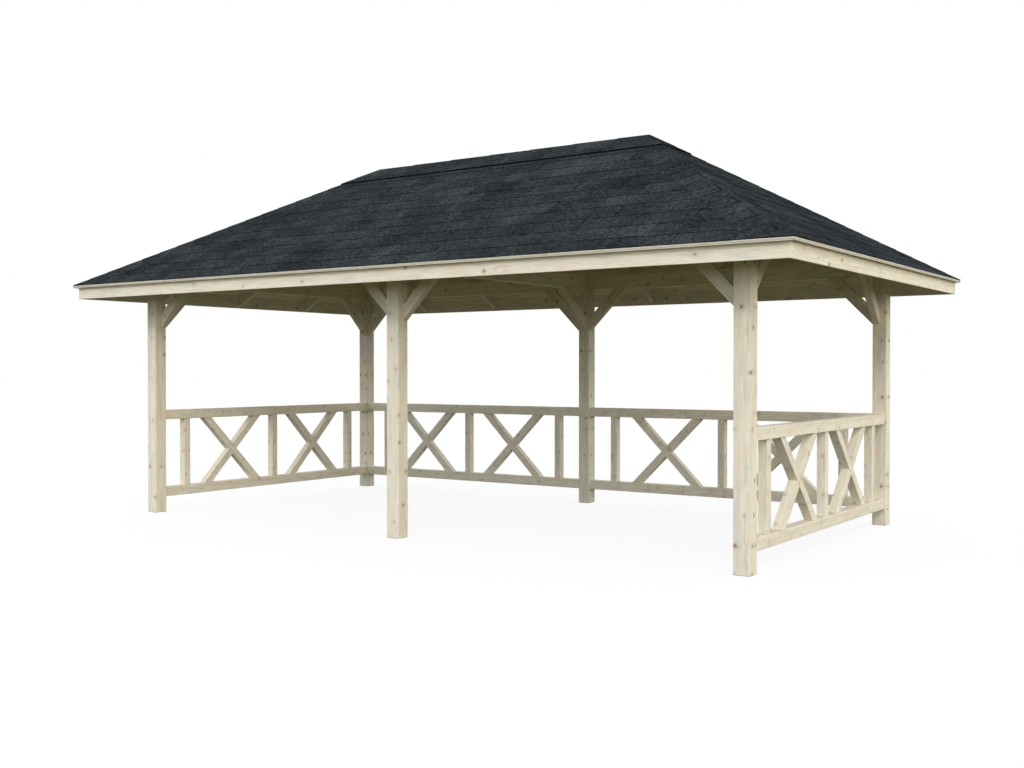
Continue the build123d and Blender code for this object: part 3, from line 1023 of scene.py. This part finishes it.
def hip_line(x, y):
    """A hip's foot, its way up, its two wings and their outs, in the order that faces outwards."""
    side_x, side_y = SIGN[x], SIGN[y]
    foot = np.array((side_x * EAVE_X, side_y * EAVE_Y, EAVE_Z))
    head = np.array((side_x * RIDGE_HALF, 0.0, APEX_Z))
    way = unit(head - foot)
    outs = [SLOPES[y].out, SLOPES[x].out]
    wings = []
    for out, away in zip(outs, (-side_x * X, -side_y * Y)):
        wing = np.cross(out, way)
        wings.append(wing if wing @ away > 0 else -wing)
    if np.cross(wings[1] - wings[0], way) @ (outs[0] + outs[1]) < 0:
        wings, outs = wings[::-1], outs[::-1]
    return foot, way, wings, outs


def fold_run(line, stop, shown, half, base, settings, rng, floor_slope=0.0, slots=False):
    """A run of folded shingles up a line, each lapping the one below. With slots, each is cut
    through beside its fold, on one wing and on the other by turns."""
    found = []
    for i in range(int(np.ceil(stop / shown))):
        v0 = i * shown
        v1 = min(v0 + shown, stop) + settings.lap
        tone = rng.uniform()
        wide = half + rng.uniform(-FOLD_SPREAD, FOLD_SPREAD)
        pieces = [(-wide, wide)]
        if slots and i % 2:
            pieces = [(-wide, -SLOT[1]), (-SLOT[0], wide)]
        elif slots:
            pieces = [(-wide, SLOT[0]), (SLOT[1], wide)]
        found += [folded_shingle(line, v0, v1, q0, q1, base, settings.thickness, tone, floor_slope)
                  for q0, q1 in pieces]
    return found


class GAZEBO_OT_hip_shingles(Operator):
    """Shingles folded over the four hips"""
    bl_idname = "gazebo.hip_shingles"
    bl_label = "Hip shingles"

    def execute(self, context):
        settings = context.scene.gazebo_roof
        rng = np.random.default_rng(22)
        base = -DECK_DROP * cos(PITCH) + FELT + FOLD_LIFT * settings.thickness
        stop = (EAVE_X + box("ridge_cap")[0][0]) * sqrt(2 + SLOPE ** 2) + UNDER_CAP
        for x, y in CORNERS:
            parts = fold_run(hip_line(x, y), stop, settings.cap_exposure, settings.cap_half, base,
                             settings, rng, cos(PITCH), slots=True)
            piece(f"hip_shingles_{y}_{x}", parts, ("shingles",), [])
        return {"FINISHED"}


class GAZEBO_OT_ridge_cap(Operator):
    """The raised hood over the ridge, with a course round its edge and folded shingles on top"""
    bl_idname = "gazebo.ridge_cap"
    bl_label = "Ridge cap"

    def execute(self, context):
        settings = context.scene.gazebo_roof
        rng = np.random.default_rng(23)
        low, high = box("ridge_cap")
        thick = settings.thickness
        lift = (high[2] - APEX_Z) * cos(PITCH) - thick - CAP_CLEAR
        start = (EAVE_Y + low[1]) / cos(PITCH)
        split = start + CAP_COURSE
        ridge = EAVE_Y / cos(PITCH)
        near, far = (RIDGE_HALF + more for more in CAP_END)
        parts = []
        for slope in SLOPES.values():
            # the hood's body: a block of dark felt under its tabs, whose edge face, left showing
            # below the course round the hood, is painted shadow under the hood's edge
            parts.append(sheet_on(slope, start + FELT_FOOT, ridge - CAP_SHORT, lift - CAP_GAP,
                                  lift - CAP_GAP + CAP_SUNK))
            parts += course_tabs(slope, start + COURSE_FOOT, CAP_COURSE, 0.25, lift, settings, rng,
                                 0.0)
            if slope.long:
                parts += [tab(slope, a0, a1, split, ridge - CAP_SHORT, lift, thick,
                              rng.uniform(size=2), 0.0, 0.0)
                          for a0, a1 in ((-far, -near), (near, far))]
            else:
                parts += course_tabs(slope, split, ridge - split - settings.lap - CAP_SHORT, 0.5,
                                     lift, settings, rng, 0.0)
        slopes = SLOPES["back"], SLOPES["front"]
        line = (APEX_Z * Z - RIDGE_HALF * X, X, [-s.up for s in slopes], [s.out for s in slopes])
        parts += fold_run(line, 2 * RIDGE_HALF - settings.lap, settings.tab_width, ridge - split,
                          lift, settings, rng)
        piece("ridge_cap_shingles", parts, ("shingles", "felt"), ["ridge_cap"])
        return {"FINISHED"}


class GAZEBO_OT_drip_edge(Operator):
    """The drip edge: a thin hemmed strip round the ends of the roof boards"""
    bl_idname = "gazebo.drip_edge"
    bl_label = "Drip edge"

    def execute(self, context):
        # A profile, out from the fascia's face and up, is set at each corner of the roof, and
        # quads join each of the four to the next.
        low, high = box("drip_edge")
        outer = high[0] - FASCIA_X
        inner = DECK_X - FASCIA_X
        bottom = low[2]
        top = EAVE_Z + (EAVE_X - high[0]) * SLOPE - DECK_DROP
        corners = (outer, bottom), (outer, top), (inner, top), (inner, bottom)
        out, up = np.concatenate([np.add(corner, points)
                                  for corner, points in zip(corners, STRIP_CORNERS)]).T
        rings = [np.column_stack([side_x * (FASCIA_X + out), side_y * (FASCIA_Y + out), up])
                 for side_x, side_y in ((1, -1), (1, 1), (-1, 1), (-1, -1))]
        a = np.arange(4 * len(out)).reshape(4, -1)
        b = np.roll(a, -1, 1)
        quads = np.stack([a, np.roll(a, -1, 0), np.roll(b, -1, 0), b], -1).reshape(-1, 4)
        strip = {"points": np.concatenate(rings), "faces": [quads]}
        piece("drip_edge_strip", [strip], ("metal",), ["drip_edge"])
        return {"FINISHED"}


# ---- stage --------------------------------------------------------------------

WHITE = (1.0, 1.0, 1.0, 1.0)
PALE = (0.9, 0.9, 0.9, 1.0)
FLOOR_REACH = 90.0
SENSOR = 36.0       # millimetres
FAR_CLIP = 300.0


def seen_directly(f):
    """1 for what the camera, a reflection or a clear pane shows, else 0."""
    path = f.node("LightPath")
    either = f.math("MAXIMUM", path.outputs["Is Camera Ray"], path.outputs["Is Glossy Ray"])
    return f.math("MAXIMUM", either, path.outputs["Is Transmission Ray"])


def plain_floor(settings):
    """A wide floor: white with a soft shadow where it is seen, olive in the light it throws."""
    f = Finish(bpy.data.materials.new("stage_floor"))
    glow = f.node("Emission", {"Color": WHITE, "Strength": 1.0})
    pale = f.node("BsdfDiffuse", {"Color": PALE})
    shown = f.node("MixShader", {0: settings.floor_shadow, 1: glow, 2: pale})
    thrown = f.node("BsdfDiffuse", {"Color": linear(settings.floor_bounce)})
    both = f.node("MixShader", {0: seen_directly(f), 1: thrown, 2: shown})
    f.node("OutputMaterial", {"Surface": both})
    mesh = bpy.data.meshes.new("floor")
    mesh.from_pydata([(x * FLOOR_REACH, y * FLOOR_REACH, 0.0)
                      for x, y in rectangle(-1, 1, -1, 1)], [], [(0, 1, 2, 3)])
    mesh.materials.append(f.owner)
    floor = bpy.data.objects.new("floor", mesh)
    bpy.context.scene.collection.objects.link(floor)


def even_sky(settings):
    """A world that is white where it is seen, and lights the object evenly from all round."""
    world = bpy.data.worlds.new("even_sky")
    bpy.context.scene.world = world
    f = Finish(world)
    sky = f.node("Background", {"Color": linear(settings.sky_tint), "Strength": settings.sky})
    white = f.node("Background", {"Color": WHITE, "Strength": 1.0})
    both = f.node("MixShader", {0: seen_directly(f), 1: sky, 2: white})
    f.node("OutputWorld", {"Surface": both})


def broad_lamp(settings, kind):
    """A far lamp that looks spread wide. Its place is two angles: from the front, and up."""
    lamp = bpy.data.lights.new(kind + "_lamp", "SUN")
    lamp.energy = getattr(settings, kind + "_lamp")
    lamp.color = linear(getattr(settings, kind + "_tint"))[:3]
    lamp.angle = getattr(settings, kind + "_spread")
    across, up = getattr(settings, kind + "_place")
    placed = bpy.data.objects.new(kind + "_lamp", lamp)
    placed.rotation_euler = (radians(90) - up, 0.0, across)
    bpy.context.scene.collection.objects.link(placed)


def camera(settings):
    lens = bpy.data.cameras.new("camera")
    lens.lens = settings.lens
    lens.sensor_width = SENSOR
    lens.clip_end = FAR_CLIP
    eye = bpy.data.objects.new("camera", lens)
    eye.location = settings.eye
    eye.rotation_euler = settings.turn
    bpy.context.scene.collection.objects.link(eye)
    bpy.context.scene.camera = eye


class GAZEBO_OT_stage(Operator):
    """Floor, even sky light, three lamps and the camera"""
    bl_idname = "gazebo.stage"
    bl_label = "Stage"

    def execute(self, context):
        settings = context.scene.gazebo_stage
        plain_floor(settings)
        even_sky(settings)
        for kind in ("front", "side", "fill"):
            broad_lamp(settings, kind)
        camera(settings)
        context.scene.view_settings.view_transform = "Standard"
        return {"FINISHED"}


PIECES = (
    GAZEBO_OT_posts,
    GAZEBO_OT_plates,
    GAZEBO_OT_braces,
    GAZEBO_OT_railings,
    GAZEBO_OT_rafters,
    GAZEBO_OT_roof_boards,
    GAZEBO_OT_fascias,
    GAZEBO_OT_drip_edge,
    GAZEBO_OT_shingles,
    GAZEBO_OT_hip_shingles,
    GAZEBO_OT_ridge_cap,
    GAZEBO_OT_stage,
)


class GAZEBO_PT_panel(Panel):
    """Lists the pieces and their settings"""
    bl_idname = "GAZEBO_PT_panel"
    bl_label = "Garden Gazebo"
    bl_space_type = "VIEW_3D"
    bl_region_type = "UI"
    bl_category = "Gazebo"

    def draw(self, context):
        for name, group in SETTINGS.items():
            area = self.layout.box()
            for prop in group.__annotations__:
                area.prop(getattr(context.scene, name), prop)
        for operator in PIECES:
            self.layout.operator(operator.bl_idname)


def register():
    for name, group in SETTINGS.items():
        bpy.utils.register_class(group)
        setattr(bpy.types.Scene, name, PointerProperty(type=group))
    for cls in (*PIECES, GAZEBO_PT_panel):
        bpy.utils.register_class(cls)


def unregister():
    for cls in (GAZEBO_PT_panel, *reversed(PIECES)):
        bpy.utils.unregister_class(cls)
    for name, group in SETTINGS.items():
        delattr(bpy.types.Scene, name)
        bpy.utils.unregister_class(group)


def main():
    register()
    for operator in PIECES:
        group, name = operator.bl_idname.split(".")
        getattr(getattr(bpy.ops, group), name)()


if __name__ == "__main__":
    main()
